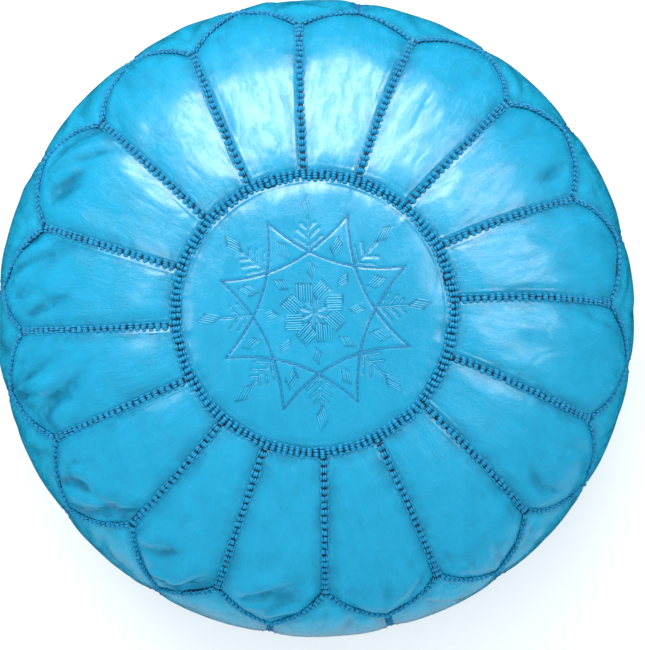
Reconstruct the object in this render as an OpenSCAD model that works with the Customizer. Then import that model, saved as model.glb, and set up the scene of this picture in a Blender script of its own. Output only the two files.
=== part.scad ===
// Round leather pouf: sixteen arched top panels round an embroidered disc, sixteen side panels,
// a base in two halves joined by a zip, and a lining bag full of stuffing.

/* [Cover] */
// Diameter across the belly
pouf_d = 530; // [500:5:560]
// Height from the floor to the middle of the top
pouf_h = 330; // [310:5:350]
// Height of the belly above the floor
belly_h = 155; // [148:1:162]
// Thickness of the leather
leather = 1.6; // [1.2:0.1:2]
// Width of the turned-in hem along every panel edge
hem_w = 8; // [6:1:10]
// Gap between two panels at a seam
seam_gap = 0.4; // [0.3:0.1:0.6]

/* [Top] */
// Diameter of the seam round the middle disc
disc_d = 217; // [210:1:224]
// Radius at which the straight seams of the top end
corner_r = 232; // [229:1:235]
// Height of the pointed arch at the end of each top panel
arch_h = 44; // [42:1:46]
// Radius of the two arcs that form the pointed arch
arch_arc_r = 100; // [90:5:120]

/* [Stitching] */
// Width of the braid round the disc
ring_braid_w = 9.6; // [8:0.2:11]
// Width of the braids between the top panels
top_braid_w = 7; // [6:0.5:8]
// Width of the braid round each arch
arch_braid_w = 5; // [4:0.5:6]
// Width of the braids down the side
side_braid_w = 6; // [5:0.5:7]
// Height of the braids above the leather
braid_h = 2.2; // [1.6:0.2:3]
// Width of an embroidery thread line
thread_w = 1.2; // [1:0.1:1.6]
// Height of the embroidery above the leather
thread_h = 0.7; // [0.5:0.1:1]

/* [Base and zip] */
// Radius of the seam round the base disc
base_r = 150; // [147:1:153]
// Height of the hollow under the base disc
base_z = 10; // [10:0.5:11]
// Length of the row of teeth
zip_l = 236; // [220:2:240]
// Pitch of the teeth
tooth_pitch = 3.2; // [3:0.1:3.6]
// Length of the pull tab
pull_l = 32; // [26:1:34]

/* [Hidden] */
$fn = 96;
panels = 16;
step_a = 360 / panels;
belly_r = pouf_d / 2;
ring_r = disc_d / 2;
crown_h = pouf_h - belly_h;
crown_power = 2.5;
foot_power = 2.8;
foot_depth = 182;
outline_steps = 12;
clear = 0.1;

// Heights of the layers below the outer face of the leather
backing_top = -leather - 0.1;
backing_bottom = backing_top - 0.8;
lining_top = -2 * leather - 0.3;
lining_bottom = lining_top - 0.6;
stuffing_top = lining_bottom - 0.3;

ring_t = acos(pow(ring_r / belly_r, crown_power / 2));
corner_t = acos(pow(corner_r / belly_r, crown_power / 2));
cap_drop = crown_h - crown_h * pow(sin(ring_t), 2 / crown_power);
cap_r = (ring_r * ring_r + cap_drop * cap_drop) / (2 * cap_drop);
corner_z = belly_h + crown_h * pow(sin(corner_t), 2 / crown_power);
corner_half_w = corner_r * sin(step_a / 2);
arch_tilt = 58;
arch_reach_in = 130;
arch_reach_out = 40;

foot_flat_r = 158;
base_lip = 9;
base_disc_r = base_r - 0.5;
slot_w = 8.4;
slot_l = zip_l + 10;
tape_z = base_z + leather + clear;
tape_t = 0.8;
tape_w = 13;
tape_in = 1.2;
tooth_in = 0.65;
tooth_out = 3.6;
tooth_z = base_z - 1;
tooth_h = 2.65;
stop_l = 2.6;
slider_l = 15;
slider_x = -zip_l / 2 + 11;
slider_plate = 1.8;
slider_top_z = tooth_z - 0.4;
pin_r = 0.8;
pin_z = slider_top_z - slider_plate - 2.1;

star_r = 78;
star_waist_r = 41;

function two_digits(k) = str(k < 10 ? "0" : "", k);
petal_names = [for (k = [1:panels]) str("top_petal_", two_digits(k))];
side_names = [for (k = [1:panels]) str("side_panel_", two_digits(k))];

leather_blue = [0.16, 0.70, 0.90];
thread_blue = [0.10, 0.50, 0.75];
cotton_cream = [0.90, 0.86, 0.76];
zip_blue = [0.08, 0.36, 0.55];
metal_grey = [0.72, 0.72, 0.74];

// ---- Outline of the cover. off moves it out of the leather's face, and a negative off moves it in.

function crown_point(t, off) =
    [(belly_r + off) * pow(cos(t), 2 / crown_power), belly_h + (crown_h + off) * pow(sin(t), 2 / crown_power)];
function foot_point(t, off) =
    [(belly_r + off) * pow(cos(t), 2 / foot_power), belly_h - (foot_depth + off) * pow(sin(t), 2 / foot_power)];
function cap_point(r, off) = [r, pouf_h - cap_r + sqrt(pow(cap_r + off, 2) - r * r)];
function foot_end_t(off) = asin(pow((belly_h + off) / (foot_depth + off), foot_power / 2));

function crown_path(off) = [for (i = [0:outline_steps]) crown_point(ring_t * (1 - i / outline_steps), off)];
function foot_path(off) = [for (i = [1:outline_steps]) foot_point(foot_end_t(off) * i / outline_steps, off)];
function cap_path(off) = [for (i = [0:5]) cap_point(ring_r * i / 6, off)];
function lip_path(off) = [[foot_flat_r - 0.47 * off, -off], [base_r + 0.5 - 0.77 * off, base_lip - 0.64 * off]];
function backwards(list) = [for (i = [len(list) - 1:-1:0]) list[i]];

function skin_path(off) = concat(crown_path(off), foot_path(off), lip_path(off));
function core_path(off, hollow_z) = concat(cap_path(off), crown_path(off), foot_path(off),
    [[foot_flat_r - off, -off], [base_r - off, hollow_z], [0, hollow_z]]);

// A layer of the cover outside the disc, between two offsets.
module layer(outer, inner) {
    rotate_extrude() polygon(concat(skin_path(outer), backwards(skin_path(inner))));
}

// A layer of the round top inside the disc seam.
module cap_layer(outer, inner) {
    translate([0, 0, pouf_h - cap_r]) difference() {
        sphere(cap_r + outer, $fn = 144);
        sphere(cap_r + inner, $fn = 144);
    }
}

// ---- Cutters

// A wedge of one panel's width about +X, cut back from both of its seam planes by inset.
module wedge(inset) {
    half = step_a / 2;
    reach = 1.2 * belly_r;
    start = inset / sin(half);
    linear_extrude(2 * pouf_h, center = true)
        polygon([[start, 0], [reach, (reach - start) * tan(half)], [reach, -(reach - start) * tan(half)]]);
}

// The outline of a top panel's outer end in the tilted plane: x runs down the slope and y across.
module arch_outline(grow) {
    middle = [arch_h / 2, corner_half_w / 2];
    chord = norm([arch_h, corner_half_w]);
    back = sqrt(arch_arc_r * arch_arc_r - chord * chord / 4);
    centre = middle - back / chord * [corner_half_w, arch_h];
    translate([-belly_r, -corner_half_w - 5]) square([belly_r, 2 * corner_half_w + 10]);
    intersection() {
        translate(centre) circle(arch_arc_r + grow);
        translate([centre.x, -centre.y]) circle(arch_arc_r + grow);
        translate([-1, -60]) square([arch_h + 20, 120]);
    }
}

// Everything inside a top panel's arch, about +X.
module arch_cutter(grow) {
    translate([corner_r, 0, corner_z]) rotate([0, arch_tilt, 0]) translate([0, 0, -arch_reach_in])
        linear_extrude(arch_reach_in + arch_reach_out) arch_outline(grow);
}

module outside_ring(inset) {
    difference() {
        cylinder(h = 3 * pouf_h, r = 2 * belly_r, center = true);
        cylinder(h = 4 * pouf_h, r = ring_r + inset, center = true);
    }
}

// ---- Leather

module petal_block(inset, outer, inner) {
    intersection() {
        layer(outer, inner);
        wedge(inset);
        arch_cutter(-inset);
        outside_ring(inset);
    }
}

// A top panel about +X, doubled along its edges where the hem is turned in.
module top_petal() {
    difference() {
        petal_block(seam_gap / 2, 0, -2 * leather);
        petal_block(hem_w, -leather, -3 * leather);
    }
}

module side_block(inset, outer, inner) {
    difference() {
        intersection() {
            layer(outer, inner);
            wedge(inset);
        }
        for (side = [-1, 1]) rotate(side * step_a / 2) arch_cutter(inset);
        translate([0, 0, belly_h + crown_h * 0.8]) cylinder(h = pouf_h, r = 2 * belly_r);
    }
}

// A side panel about +X. Its inner edge stands up round the base disc.
module side_panel() {
    difference() {
        side_block(seam_gap / 2, 0, -2 * leather);
        difference() {
            side_block(hem_w, -leather, -3 * leather);
            cylinder(h = 2 * hem_w, r = base_r + hem_w);
        }
    }
}

module top_disc() {
    color(leather_blue) intersection() {
        cap_layer(0, -leather);
        cylinder(h = 2 * pouf_h, r = ring_r - seam_gap / 2);
    }
}

module base_half(side) {
    color(leather_blue) translate([0, 0, base_z]) linear_extrude(leather) difference() {
        circle(base_disc_r);
        translate([-base_r, side > 0 ? -2 * base_r + seam_gap / 2 : -seam_gap / 2])
            square([2 * base_r, 2 * base_r]);
        translate([-slot_l / 2, -slot_w / 2]) square([slot_l, slot_w]);
    }
}

// ---- Braids over the seams

module ring_braid() {
    color(thread_blue) rotate_extrude() polygon([
        for (i = [0:6]) cap_point(ring_r + ring_braid_w * (i / 6 - 0.5), clear),
        for (i = [6:-1:0]) cap_point(ring_r + ring_braid_w * (i / 6 - 0.5) * 0.92, braid_h + 0.8 * sin(30 * i))
    ]);
}

module seam_slab(w) {
    translate([0, -w / 2, 0]) cube([1.5 * belly_r, w, 1.5 * pouf_h]);
}

module top_seam_braid() {
    intersection() {
        layer(braid_h, clear);
        seam_slab(top_braid_w);
        outside_ring(ring_braid_w / 2 + 0.6);
        translate([0, 0, corner_z - 2]) cylinder(h = pouf_h, r = 2 * belly_r);
    }
}

module arch_braid() {
    difference() {
        intersection() {
            layer(braid_h - 0.3, clear);
            wedge(top_braid_w / 2 + 0.1);
            arch_cutter(arch_braid_w / 2);
            translate([0, 0, belly_h]) cylinder(h = pouf_h, r = 2 * belly_r);
        }
        arch_cutter(-arch_braid_w / 2);
    }
}

module side_seam_braid() {
    difference() {
        intersection() {
            layer(braid_h, clear);
            seam_slab(side_braid_w);
            translate([0, 0, 6]) cylinder(h = belly_h + crown_h * 0.6, r = 2 * belly_r);
        }
        arch_cutter(arch_braid_w / 2 + 0.1);
        cylinder(h = belly_h, r = foot_flat_r + 15);
    }
}

module base_ring_braid() {
    color(thread_blue) translate([0, 0, base_z - 2.6]) rotate_extrude()
        translate([base_r - 2.8, 0]) circle(2.4);
}

// ---- Embroidery on the disc, in lines and satin-stitched lozenges

// A line between two star points a quarter turn apart, bowed in to the waist.
module star_line() {
    half_chord = star_r * sin(45);
    bow = star_r * cos(45) - star_waist_r;
    line = [for (i = [-6:6]) [star_waist_r + bow * pow(i / 6, 2), half_chord * i / 6]];
    across = [thread_w / 2, 0];
    polygon(concat([for (p = line) p + across], backwards([for (p = line) p - across])));
}

module lozenge(r, length, width) {
    polygon([[r - length / 2, 0], [r, width / 2], [r + length / 2, 0], [r, -width / 2]]);
}

module rosette_cell() {
    polygon([[5, 0], [15 * cos(20), 15 * sin(20)], [27, 0], [15 * cos(20), -15 * sin(20)]]);
}

// A stem with two chevrons that open outwards, and a lozenge at its end.
module spray() {
    chevron = 9;
    translate([48, -thread_w / 2]) square([24, thread_w]);
    for (vertex = [54, 62], side = [-1, 1])
        translate([vertex, 0]) rotate(side * 45) translate([0, -thread_w / 2]) square([chevron, thread_w]);
    lozenge(80.5, 18, 8.5);
}

module embroider() {
    color(thread_blue) intersection() {
        cap_layer(thread_h, 0.05);
        translate([0, 0, pouf_h - 2 * cap_drop]) linear_extrude(4 * cap_drop) children();
    }
}

module embroidery_star() {
    embroider() for (k = [0:7]) rotate(45 * k + 22.5) star_line();
}

module embroidery_rosette() {
    embroider() for (k = [0:7]) rotate(45 * k + 22.5) rosette_cell();
}

module embroidery_leaves() {
    embroider() for (k = [0:7]) {
        rotate(45 * k) lozenge(32, 14, 6.5);
        rotate(45 * k + 22.5) lozenge(53, 15, 7.5);
    }
}

module embroidery_sprays() {
    embroider() for (k = [0:7]) rotate(45 * k) spray();
}

// ---- Inside

module disc_backing() {
    color(cotton_cream) intersection() {
        cap_layer(backing_top, backing_bottom);
        cylinder(h = 2 * pouf_h, r = ring_r - hem_w / 2);
    }
}

module lining_bag() {
    color(cotton_cream) rotate_extrude() difference() {
        polygon(core_path(lining_top, tape_z + 5));
        polygon(core_path(lining_bottom, tape_z + 5.6));
    }
}

module stuffing() {
    color(cotton_cream) rotate_extrude() polygon(core_path(stuffing_top, tape_z + 5.9));
}

// ---- Zip

// Everything on the zip is drawn for the half at +Y; side is 1 or -1.
module zip_tape(side) {
    color(zip_blue) translate([-slot_l / 2, side > 0 ? tape_in : -tape_in - tape_w, tape_z])
        cube([slot_l, tape_w, tape_t]);
}

module zip_block(x, length, side) {
    translate([x, side > 0 ? tooth_in : -tooth_out, tooth_z]) cube([length, tooth_out - tooth_in, tooth_h]);
}

module zip_teeth(side) {
    count = floor(zip_l / tooth_pitch) - 1;
    stagger = side > 0 ? 0 : tooth_pitch / 2;
    color(metal_grey) for (i = [0:count - 1])
        zip_block(-zip_l / 2 + 1 + stagger + i * tooth_pitch, 1.7, side);
}

module zip_top_stops() {
    color(metal_grey) for (side = [-1, 1]) zip_block(-zip_l / 2 - stop_l, stop_l, side);
}

module zip_bottom_stop() {
    color(metal_grey) translate([zip_l / 2, -tooth_out, tooth_z]) cube([stop_l, 2 * tooth_out, tooth_h]);
}

module zip_slider() {
    plate_w = 10;
    upper_z = tape_z + tape_t + 0.4;
    plate_z = slider_top_z - slider_plate;
    color(metal_grey) translate([slider_x, 0, 0]) {
        translate([-slider_l / 2, -plate_w / 2, plate_z]) cube([slider_l, plate_w, slider_plate]);
        translate([-slider_l / 2, -4, upper_z]) cube([slider_l, 8, 1.4]);
        translate([-slider_l / 2, -0.35, plate_z]) cube([5, 0.7, upper_z - plate_z + 1]);
        for (side = [-1, 1]) {
            translate([-slider_l / 2, side > 0 ? tooth_out + 0.3 : -plate_w / 2, plate_z])
                cube([slider_l, plate_w / 2 - tooth_out - 0.3, base_z - 0.4 - plate_z]);
            translate([-2, side > 0 ? 2.2 : -3.3, pin_z]) cube([4, 1.1, plate_z - pin_z + 0.5]);
            translate([0, side > 0 ? 2.2 : -3.3, pin_z]) rotate([-90, 0, 0]) cylinder(h = 1.1, r = 2);
        }
        translate([0, -3.3, pin_z]) rotate([-90, 0, 0]) cylinder(h = 6.6, r = pin_r);
    }
}

module zip_pull() {
    neck_w = 3.8;
    tab_w = 9;
    tab_t = 1.4;
    color(metal_grey) translate([slider_x, 0, pin_z]) difference() {
        union() {
            translate([0, -neck_w / 2, 0]) rotate([-90, 0, 0]) cylinder(h = neck_w, r = 1.6);
            translate([0, -neck_w / 2, -tab_t / 2]) cube([7, neck_w, tab_t]);
            translate([5, -tab_w / 2, -tab_t / 2]) cube([pull_l - 5 - tab_w / 2, tab_w, tab_t]);
            translate([pull_l - tab_w / 2, 0, -tab_t / 2]) cylinder(h = tab_t, r = tab_w / 2);
        }
        translate([0, -neck_w, 0]) rotate([-90, 0, 0]) cylinder(h = 2 * neck_w, r = pin_r + 0.08);
        translate([pull_l - tab_w / 2, 0, -tab_t]) cylinder(h = 2 * tab_t, r = 2);
    }
}

// ---- Every node

top_disc();
for (k = [0:panels - 1]) {
    color(leather_blue) rotate(step_a * (k + 0.5)) top_petal();
    color(leather_blue) rotate(step_a * k) side_panel();
    color(thread_blue) rotate(step_a * k) top_seam_braid();  // top_seam_braids
    color(thread_blue) rotate(step_a * (k + 0.5)) arch_braid();  // arch_braids
    color(thread_blue) rotate(step_a * (k + 0.5)) side_seam_braid();  // side_seam_braids
}
base_half(-1);  // base_half_front
base_half(1);  // base_half_back
ring_braid();
base_ring_braid();
embroidery_star();
embroidery_rosette();
embroidery_leaves();
embroidery_sprays();
disc_backing();
lining_bag();
stuffing();
zip_tape(-1);  // zip_tape_front
zip_tape(1);  // zip_tape_back
zip_teeth(-1);  // zip_teeth_front
zip_teeth(1);  // zip_teeth_back
zip_top_stops();
zip_bottom_stop();
zip_slider();
zip_pull();
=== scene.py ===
"""Round leather pouf: leather panels, hand-sewn braids, an embroidered disc and a zip underneath."""

import math

import bpy
import numpy as np
from mathutils import Matrix, Vector


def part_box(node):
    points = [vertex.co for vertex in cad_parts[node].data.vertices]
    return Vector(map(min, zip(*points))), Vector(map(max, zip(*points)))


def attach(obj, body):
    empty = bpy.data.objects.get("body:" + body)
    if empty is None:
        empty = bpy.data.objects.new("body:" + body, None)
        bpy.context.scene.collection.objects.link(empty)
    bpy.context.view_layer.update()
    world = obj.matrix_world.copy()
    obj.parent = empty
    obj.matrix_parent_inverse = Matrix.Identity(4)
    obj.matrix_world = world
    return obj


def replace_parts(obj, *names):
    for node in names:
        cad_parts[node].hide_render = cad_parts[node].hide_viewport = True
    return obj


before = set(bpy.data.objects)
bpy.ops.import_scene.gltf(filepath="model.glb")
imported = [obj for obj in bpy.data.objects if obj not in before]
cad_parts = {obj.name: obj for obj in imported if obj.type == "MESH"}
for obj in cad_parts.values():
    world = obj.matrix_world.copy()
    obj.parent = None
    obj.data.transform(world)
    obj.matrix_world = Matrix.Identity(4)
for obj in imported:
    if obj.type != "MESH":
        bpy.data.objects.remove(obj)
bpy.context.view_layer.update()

MM = 0.001
PANELS = 16
STEP = 2 * math.pi / PANELS

# Sizes that the CAD nodes give.
TOP_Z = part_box("top_disc")[1].z
RING_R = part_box("top_disc")[1].x + 0.2 * MM
BELLY_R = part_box("side_panel_01")[1].x
BASE_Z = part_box("base_half_back")[0].z
BASE_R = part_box("base_half_back")[1].x

# The outline's own numbers, as in the CAD model.
BELLY_Z = 155 * MM
CROWN_POWER = 2.5
FOOT_POWER = 2.8
FOOT_DEPTH = 182 * MM
FOOT_FLAT_R = 158 * MM

# Where each seam and arch wanders from the even layout, clockwise from the back: degrees for the LEAN
# rows, and millimetres outwards for the OUT rows. ARCH_BOW is how far each half of an arch swells.
LEAN_IN = (1.7, 1.8, 1.7, 3.0, 2.8, 2.5, 2.2, 1.2, 1.3, -0.4, 2.0, 2.4, 2.2, 1.5, 1.1, 1.9)
LEAN_OUT = (0.3, 0.1, 0.1, -1.0, -0.5, -1.1, -0.8, 0, -0.5, 0.2, 1.2, 0.3, 0.4, 1.7, 0.3, -0.1)
CORNER_OUT = (2, 1, -4, -7, 5, 3, -2, -2, -10, 0, -11, -3, 3, -5, -3, -2)
TIP_LEAN = (0.2, -2.0, 0.7, 1.2, 0.5, 0, -0.9, -0.4, 0.3, 0.3, 0.9, -0.4, 2.6, 0, -1.2, 0.4)
TIP_OUT = (-7, 0, -3, -2, 2, 4, 0, -6, -3, 1, -1, 0, 0, -1, 1, 1)
CORNER_R = 232 * MM
TIP_R = 255.3 * MM
ARCH_BOW = (0.35, 0.5, 0.5, 0.5, 0.45, 0.4, 0.35, 0.35, 0.3, 0.14, 0.22, 0.35, 0.4, 0.5, 0.45, 0.15)

# How many folds run in from each panel's arch. On the slack panels of the left they are deep, and all
# take one direction in plan.
FOLDS = (1, 2, 3, 3, 4, 4, 4, 5, 7, 8, 9, 9, 8, 7, 4, 2)
SLACK_PANELS = range(8, 14)
SLACK_FOLD_WAY = math.radians(14)
SLACK_FOLD_DEPTH = 2.8 * MM
FOLD_DEPTH = 1.3 * MM
FOLD_LENGTH = 72 * MM

# Braid widths.
RING_W = 11.2 * MM
TOP_W = 7.9 * MM
ARCH_W = 6.2 * MM
SIDE_W = 7.8 * MM

# How far a top panel dips at its seams and swells in its middle, and how deep a fold may go before the
# leather meets the lining.
VALLEY = 1.5 * MM
BULGE = 2.6 * MM
DEEPEST_TOP = -2.7 * MM
DEEPEST_SIDE = -2.9 * MM

LEATHER_THICKNESS = 1.6 * MM
BASE_LEATHER_THICKNESS = 1.5 * MM


# ---- Mesh helpers

def piece(name, verts, faces, *materials):
    """A mesh object from rows of points and faces, smooth shaded, riding on the cover."""
    mesh = bpy.data.meshes.new(name)
    mesh.from_pydata(np.asarray(verts, float).tolist(), [], np.asarray(faces).tolist())
    mesh.validate()
    mesh.polygons.foreach_set("use_smooth", [True] * len(mesh.polygons))
    obj = bpy.data.objects.new(name, mesh)
    bpy.context.scene.collection.objects.link(obj)
    for material in materials:
        mesh.materials.append(material)
    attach(obj, "cover")
    return obj


def grid_faces(rows, cols, wrap=False):
    """Quads over a rows by cols grid of points."""
    r, c = np.meshgrid(np.arange(rows - 1), np.arange(cols if wrap else cols - 1), indexing="ij")
    n = (c + 1) % cols
    return np.stack([r * cols + c, r * cols + n, (r + 1) * cols + n, (r + 1) * cols + c], -1).reshape(-1, 4)


def flipped(faces):
    return np.asarray(faces)[:, ::-1]


def soft_noise(x, y, cell, seed):
    """Smooth noise from 0 to 1 with lumps about one cell wide."""
    lattice = np.random.default_rng(seed).random((64, 64))
    x, y = np.asarray(x) / cell, np.asarray(y) / cell
    i, j = np.floor(x).astype(int), np.floor(y).astype(int)
    u, v = x - i, y - j
    u, v = u * u * (3 - 2 * u), v * v * (3 - 2 * v)
    at = lambda a, b: lattice[a % 64, b % 64]
    low = at(i, j) * (1 - u) + at(i + 1, j) * u
    high = at(i, j + 1) * (1 - u) + at(i + 1, j + 1) * u
    return low * (1 - v) + high * v


def creases(x, y, cell, seed):
    """From 0 to 1, high along a net of thin lines."""
    n = soft_noise(x, y, cell, seed) * 0.7 + soft_noise(x, y, cell * 0.45, seed + 1) * 0.3
    return (1 - np.abs(2 * n - 1)) ** 7


# ---- The cover's outline

def outline():
    """Points (r, z) from the middle of the top, over the belly, to the rim of the base, 1 mm apart."""
    crown = TOP_Z - BELLY_Z
    ring_t = math.acos((RING_R / BELLY_R) ** (CROWN_POWER / 2))
    drop = crown - crown * math.sin(ring_t) ** (2 / CROWN_POWER)
    cap_r = (RING_R ** 2 + drop ** 2) / (2 * drop)
    a = np.linspace(0, math.asin(RING_R / cap_r), 300)
    cap = np.stack([cap_r * np.sin(a), TOP_Z - cap_r * (1 - np.cos(a))], -1)
    t = np.linspace(ring_t, 0, 1500)[1:]
    top = np.stack([BELLY_R * np.cos(t) ** (2 / CROWN_POWER),
                    BELLY_Z + crown * np.sin(t) ** (2 / CROWN_POWER)], -1)
    t = np.linspace(0, math.asin((BELLY_Z / FOOT_DEPTH) ** (FOOT_POWER / 2)), 1500)[1:]
    foot = np.stack([BELLY_R * np.cos(t) ** (2 / FOOT_POWER),
                     BELLY_Z - FOOT_DEPTH * np.sin(t) ** (2 / FOOT_POWER)], -1)
    flat = np.linspace(foot[-1], (FOOT_FLAT_R, 0), 60)[1:]
    lip = np.linspace((FOOT_FLAT_R, 0), (BASE_R + MM, 9 * MM), 30)[1:]
    line = np.concatenate([cap, top, foot, flat, lip])
    along = np.concatenate([[0], np.cumsum(np.hypot(*np.diff(line, axis=0).T))])
    s = np.arange(0, along[-1], MM)
    line = np.stack([np.interp(s, along, line[:, k]) for k in (0, 1)], -1)
    return s, line


S, LINE = outline()
slope = np.gradient(LINE, axis=0)
NORMAL = np.stack([-slope[:, 1], slope[:, 0]], -1)
for axis in (0, 1):
    NORMAL[:, axis] = np.convolve(np.pad(NORMAL[:, axis], 6, mode="edge"), np.ones(13) / 13, mode="valid")
NORMAL /= np.hypot(NORMAL[:, 0], NORMAL[:, 1])[:, None]
BELLY_S = S[np.argmax(LINE[:, 0])]


def radius(s):
    return np.interp(s, S, LINE[:, 0])


def height(s):
    return np.interp(s, S, LINE[:, 1])


def s_at_radius(r):
    """Distance along the outline at a radius on the top half."""
    upper = S < BELLY_S
    return np.interp(r, LINE[upper, 0], S[upper])


def s_at_height(z):
    """Distance along the outline at a height on the lower half."""
    lower = (S > BELLY_S) & (LINE[:, 0] > FOOT_FLAT_R + 26 * MM)
    return np.interp(-z, -LINE[lower, 1], S[lower])


def skin(theta, s, lift):
    """Points on the cover at an angle and a distance along the outline, lifted off it."""
    theta, s, lift = np.broadcast_arrays(theta, s, lift)
    r = radius(s) + lift * np.interp(s, S, NORMAL[:, 0])
    z = height(s) + lift * np.interp(s, S, NORMAL[:, 1])
    return np.stack([r * np.cos(theta), r * np.sin(theta), z], -1)


RING_S = float(s_at_radius(RING_R))
CORNER_S = [float(s_at_radius(CORNER_R + d * MM)) for d in CORNER_OUT]
TIP_S = [float(s_at_radius(TIP_R + d * MM)) for d in TIP_OUT]


# ---- Seam lines. Seam k runs outwards between top panels k - 1 and k.

def seam_theta(k, s):
    k %= PANELS
    v = np.clip((s - RING_S) / (CORNER_S[k] - RING_S), 0, 1)
    lean = LEAN_IN[k] * (1 - v) + LEAN_OUT[k] * v + 0.35 * np.sin(math.pi * v) * math.sin(2.1 * k)
    return math.pi / 2 - STEP * k + np.radians(lean)


def arch_line(k, u):
    """Angle and outline distance of panel k's outer edge; u is -1 at seam k and 1 at seam k + 1."""
    here, after = k % PANELS, (k + 1) % PANELS
    a, mix = np.abs(u), (u + 1) / 2
    left, right = seam_theta(here, CORNER_S[here]), seam_theta(after, CORNER_S[after])
    if right > left:
        right -= 2 * math.pi
    base = CORNER_S[here] * (1 - mix) + CORNER_S[after] * mix
    reach = TIP_S[here] - (CORNER_S[here] + CORNER_S[after]) / 2
    s = base + reach * (1 - a) * (1 + ARCH_BOW[here] * a)
    theta = left * (1 - mix) + right * mix + math.radians(TIP_LEAN[here]) * (1 - a)
    return theta, s


def side_theta(k, s):
    """Angle of the side seam below the tip of top panel k."""
    theta, s0 = arch_line(k, np.array(0.0))
    even = math.pi / 2 - STEP * (k % PANELS + 0.5)
    v = np.clip((s - s0) / (140 * MM), 0, 1)
    v = v * v * (3 - 2 * v)
    return theta * (1 - v) + even * v + np.radians(0.25) * np.sin(s / (38 * MM) + 1.7 * k)


class Path:
    """A seam as a line over the cover, measured by its length."""

    def __init__(self, theta, s):
        theta, s = np.asarray(theta, float), np.asarray(s, float)
        step = np.hypot(np.diff(theta) * radius((s[1:] + s[:-1]) / 2), np.diff(s))
        self.x = np.concatenate([[0], np.cumsum(step)])
        self.theta, self.s, self.length = theta, s, self.x[-1]

    def at(self, x, y):
        """Angle and outline distance at x along the seam and y across it."""
        e = 0.4 * MM
        t0, t1, t = (np.interp(q, self.x, self.theta) for q in (x - e, x + e, x))
        s0, s1, s = (np.interp(q, self.x, self.s) for q in (x - e, x + e, x))
        r = radius(s)
        a, b = (t1 - t0) * r, s1 - s0
        n = np.hypot(a, b) + 1e-12
        return t - y * b / n / r, s + y * a / n


# ---- Thread work

RINGS = np.array([-1, -0.93, -0.72, -0.35, 0, 0.35, 0.72, 0.93, 1])
SIDES = 7


def strands(x, y, half, slant, foot, rise, r):
    """Humped threads in flat coordinates (along, across, up). Every argument is one number per thread."""
    x, y, half, slant, foot, rise, r = [np.asarray(q, float)[:, None, None] for q in
                                        np.broadcast_arrays(x, y, half, slant, foot, rise, r)]
    t = RINGS[None, :, None]
    a = np.linspace(0, 2 * math.pi, SIDES, endpoint=False)[None, None, :]
    up = foot + rise * (1 - np.abs(t) ** 2.4) ** 0.6
    size = r * (0.55 + 0.45 * (1 - np.abs(t) ** 4))
    tilt = -np.sign(t) * np.abs(t) ** 3 * 1.1
    across, lift = size * np.cos(a), size * np.sin(a) * 0.9
    along = x + t * half - lift * np.sin(tilt)
    return np.stack(np.broadcast_arrays(along, y + slant * t * half + across, up + lift * np.cos(tilt)), -1)


def tube_faces(count):
    """Faces for that many strands, each a closed tube with its ends pinched flat."""
    rings = len(RINGS)
    one = grid_faces(rings, SIDES, wrap=True)
    return (one[None] + (np.arange(count) * rings * SIDES)[:, None, None]).reshape(-1, 4)


def bundle_row(path, start, end, pitch, width, count, seed, rise, foot, fan=0.0):
    """Bundles of threads side by side over a seam, one bundle to a stitch."""
    rng = np.random.default_rng(seed)
    units = max(1, int(round((end - start) / pitch)))
    step = (end - start) / units
    x0 = start + step * (np.arange(units) + 0.5) + rng.normal(0, 0.035, units) * step
    wide = width * (1 + rng.normal(0, 0.05, units))
    lean = rng.normal(0.0, 0.06, units) + fan
    rows = (np.arange(count) + 0.5) / count - 0.5
    x, m = np.meshgrid(x0, rows, indexing="ij")
    wide, lean = wide[:, None], lean[:, None]
    y = m * wide * 0.86 + rng.normal(0, 0.02, m.shape) * width
    x = x + rng.normal(0, 0.03, m.shape) * step + lean * y
    half = step * (0.39 + rng.normal(0, 0.02, m.shape)) * (1 - 0.10 * np.abs(2 * m) ** 3)
    top = rise * (1 - 0.42 * (2 * m) ** 2) * (1 + rng.normal(0, 0.05, m.shape))
    slant = lean * 0.4 + rng.normal(0, 0.05, m.shape) + m * 0.10
    size = np.broadcast_to(wide, m.shape) * 0.86 / count * 0.53 * (1 + rng.normal(0, 0.06, m.shape))
    local = strands(x.ravel(), y.ravel(), half.ravel(), slant.ravel(), foot, top.ravel(), size.ravel())
    theta, s = path.at(local[..., 0], local[..., 1])
    return skin(theta, s, local[..., 2]).reshape(-1, 3), tube_faces(m.size)


def gap_shade_strip(path, start, end, width, lift=-1.1 * MM):
    """A dark strip of painted shade under the bundles, showing in the gaps between them."""
    x = np.linspace(start, end, max(4, int((end - start) / (3 * MM))))
    y = np.linspace(-0.5, 0.5, 7) * width
    xx, yy = np.meshgrid(x, y, indexing="ij")
    theta, s = path.at(xx, yy)
    up = lift + 0.7 * MM * (1 - (2 * yy / width) ** 2)
    return skin(theta, s, up).reshape(-1, 3), grid_faces(len(x), len(y))


def gather(parts):
    """One list of points and one of faces from several."""
    verts, faces, base = [], [], 0
    for v, f in parts:
        verts.append(v)
        faces.append(np.asarray(f) + base)
        base += len(v)
    return np.concatenate(verts), np.concatenate(faces)


# ---- Materials

def node_group(name, inputs, outputs):
    group = bpy.data.node_groups.new(name, "ShaderNodeTree")
    for label, kind, value in inputs:
        socket = group.interface.new_socket(label, in_out="INPUT", socket_type=kind)
        if value is not None:
            socket.default_value = value
    for label, kind in outputs:
        group.interface.new_socket(label, in_out="OUTPUT", socket_type=kind)
    return group, group.nodes.new("NodeGroupInput"), group.nodes.new("NodeGroupOutput")


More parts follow.
